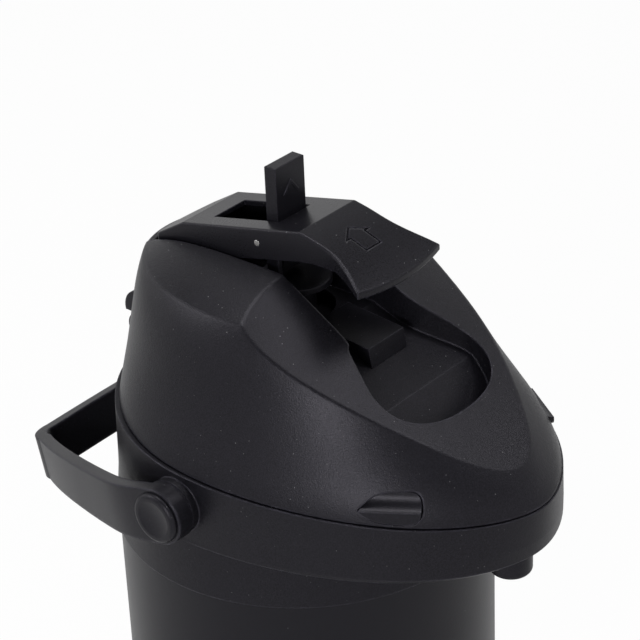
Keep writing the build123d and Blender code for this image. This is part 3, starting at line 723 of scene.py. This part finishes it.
class AIRPOT_OT_pump(bpy.types.Operator):
    """Finish the pump inside the lid"""

    bl_idname = "airpot.pump"
    bl_label = "Pump"

    def execute(self, context):
        look = context.scene.airpot_look
        inner = moulded_plastic("pump_moulding", look, look.inner_colour)
        dress(inner, "lid_base", "pump_housing")
        dark = moulded_plastic("plunger_moulding", look, look.plastic_colour)
        dress(dark, "plunger")
        soft = rubber("silicone", look.silicone_colour, 0.6)
        dress(soft, "neck_seal", "air_valve", "bellows")
        wire = brushed_steel("wire_steel", look.steel_colour, 0.26, (1.0, 1.0, 0.3))
        dress(wire, "pump_spring", "lid_screws")
        flattening_copy("bellows", "bellows_folds", soft)
        flattening_copy("pump_spring", "pump_coil", wire)
        return {"FINISHED"}


class AIRPOT_OT_lever(bpy.types.Operator):
    """Finish the pump lever and its lock tab"""

    bl_idname = "airpot.lever"
    bl_label = "Lever and lock tab"

    def execute(self, context):
        look = context.scene.airpot_look
        smooth = moulded_plastic("lever_moulding", look, look.plastic_colour)
        dress(smooth, "lever")
        tab = moulded_plastic("tab_moulding", look, look.plastic_colour)
        dress(tab, "lock_tab")
        return {"FINISHED"}


class AIRPOT_OT_handle(bpy.types.Operator):
    """Finish the bail handle, its studs and caps"""

    bl_idname = "airpot.handle"
    bl_label = "Handle"

    def execute(self, context):
        look = context.scene.airpot_look
        strap = moulded_plastic("handle_moulding", look, look.plastic_colour)
        dress(strap, "handle")
        small = moulded_plastic("cap_moulding", look, look.plastic_colour)
        dress(small, "handle_stud_left", "handle_stud_right", "handle_cap_left", "handle_cap_right")
        return {"FINISHED"}


class AIRPOT_OT_stage(bpy.types.Operator):
    """Make the pale floor, the white surround, the soft lamps and the camera"""

    bl_idname = "airpot.stage"
    bl_label = "Studio"

    def execute(self, context):
        studio = context.scene.airpot_studio
        self.make_floor()
        self.make_world(context, studio.room_light)
        self.make_lamps(context)
        self.make_camera(context, studio)
        context.scene.view_settings.view_transform = "Standard"
        return {"FINISHED"}

    @staticmethod
    def seen_directly(graph, mirrored):
        """1 for camera and transmission rays, mirrored for glossy rays, 0 for other light."""
        camera = graph.node("ShaderNodeLightPath", output="Is Camera Ray")
        glossy = graph.node("ShaderNodeLightPath", output="Is Glossy Ray")
        through = graph.node("ShaderNodeLightPath", output="Is Transmission Ray")
        return camera.most(through).most(glossy * mirrored)

    def make_floor(self):
        mesh = bpy.data.meshes.new("floor")
        shape = bmesh.new()
        bmesh.ops.create_grid(shape, x_segments=8, y_segments=8, size=FLOOR_REACH)
        shape.to_mesh(mesh)
        shape.free()
        floor = bpy.data.objects.new("floor", mesh)
        bpy.context.scene.collection.objects.link(floor)
        graph = Graph(bpy.data.materials.new("pale_floor"))
        paper = graph.blend(graph.noise(PAPER_SIZE, detail=2.0), FLOOR_DARK, FLOOR_LIGHT)
        matte = graph.node("ShaderNodeBsdfDiffuse", None, {"Color": paper})
        glow = graph.node("ShaderNodeEmission", None, {"Color": WHITE, "Strength": 1.0})
        share = self.seen_directly(graph, FLOOR_MIRRORED) * FLOOR_WHITE_SHARE
        mixed = graph.node("ShaderNodeMixShader", None, {0: share, 1: matte, 2: glow})
        graph.node_output(mixed)
        mesh.materials.append(graph.owner)

    def make_world(self, context, strength):
        world = bpy.data.worlds.new("white_room")
        context.scene.world = world
        graph = Graph(world)
        direction = graph.node("ShaderNodeTexCoord", output="Generated")
        height = graph.node("ShaderNodeSeparateXYZ", None, {"Vector": direction}, output="Z")
        backdrop = 1.0 - height.between(*BACKDROP_FADE) * BACKDROP_LOSS
        seen = self.seen_directly(graph, backdrop)
        level = strength + seen * (1.0 - strength)
        room = graph.node("ShaderNodeBackground", None, {"Color": WHITE, "Strength": level})
        graph.node_output(room)

    def make_lamps(self, context):
        for name, spot, size, power in LAMPS:
            data = bpy.data.lights.new(name, "AREA")
            data.shape = "SQUARE"
            data.size = size
            data.energy = power
            lamp = bpy.data.objects.new(name, data)
            lamp.location = spot
            towards = Vector(LAMP_TARGET) - Vector(spot)
            lamp.rotation_euler = towards.to_track_quat("-Z", "Y").to_euler()
            context.scene.collection.objects.link(lamp)

    def make_camera(self, context, studio):
        turn, lift, roll = studio.azimuth, studio.elevation, studio.roll
        flat = math.cos(lift)
        back = Vector((math.sin(turn) * flat, -math.cos(turn) * flat, math.sin(lift)))
        level = Vector((math.cos(turn), math.sin(turn), 0.0))
        upright = back.cross(level)
        right = level * math.cos(roll) + upright * math.sin(roll)
        up = upright * math.cos(roll) - level * math.sin(roll)
        sight = -back + right * math.tan(studio.aim_right) + up * math.tan(studio.aim_up)
        sight.normalize()
        right = sight.cross(up).normalized()
        up = right.cross(sight)
        data = bpy.data.cameras.new("camera")
        data.lens = studio.lens
        data.sensor_width = SENSOR_WIDTH
        data.clip_start = CLIP_START
        data.clip_end = CLIP_END
        camera = bpy.data.objects.new("camera", data)
        context.scene.collection.objects.link(camera)
        frame_axes = Matrix((right, up, -sight)).transposed().to_4x4()
        spot = Vector((0.0, 0.0, studio.pivot_height)) + back * studio.distance
        camera.matrix_world = Matrix.Translation(spot) @ frame_axes
        context.scene.camera = camera


class AIRPOT_PT_panel(bpy.types.Panel):
    """Airpot settings and steps"""

    bl_label = "Airpot"
    bl_idname = "AIRPOT_PT_panel"
    bl_space_type = "VIEW_3D"
    bl_region_type = "UI"
    bl_category = "Airpot"

    def draw(self, context):
        layout = self.layout
        look = context.scene.airpot_look
        studio = context.scene.airpot_studio
        for settings in (look, studio):
            column = layout.column(align=True)
            for key in settings.__annotations__:
                column.prop(settings, key)
        column = layout.column(align=True)
        for step in STEPS:
            column.operator(step.bl_idname)


STEPS = (
    AIRPOT_OT_base,
    AIRPOT_OT_casing,
    AIRPOT_OT_flask,
    AIRPOT_OT_collar,
    AIRPOT_OT_lid,
    AIRPOT_OT_pump,
    AIRPOT_OT_lever,
    AIRPOT_OT_handle,
    AIRPOT_OT_stage,
)
CLASSES = (AirpotLook, AirpotStudio, *STEPS, AIRPOT_PT_panel)


def register():
    for item in CLASSES:
        bpy.utils.register_class(item)
    bpy.types.Scene.airpot_look = bpy.props.PointerProperty(type=AirpotLook)
    bpy.types.Scene.airpot_studio = bpy.props.PointerProperty(type=AirpotStudio)


def unregister():
    del bpy.types.Scene.airpot_studio
    del bpy.types.Scene.airpot_look
    for item in reversed(CLASSES):
        bpy.utils.unregister_class(item)


def main():
    """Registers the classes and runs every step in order."""
    register()
    bpy.ops.airpot.base()
    bpy.ops.airpot.casing()
    bpy.ops.airpot.flask()
    bpy.ops.airpot.collar()
    bpy.ops.airpot.lid()
    bpy.ops.airpot.pump()
    bpy.ops.airpot.lever()
    bpy.ops.airpot.handle()
    bpy.ops.airpot.stage()


if __name__ == "__main__":
    main()
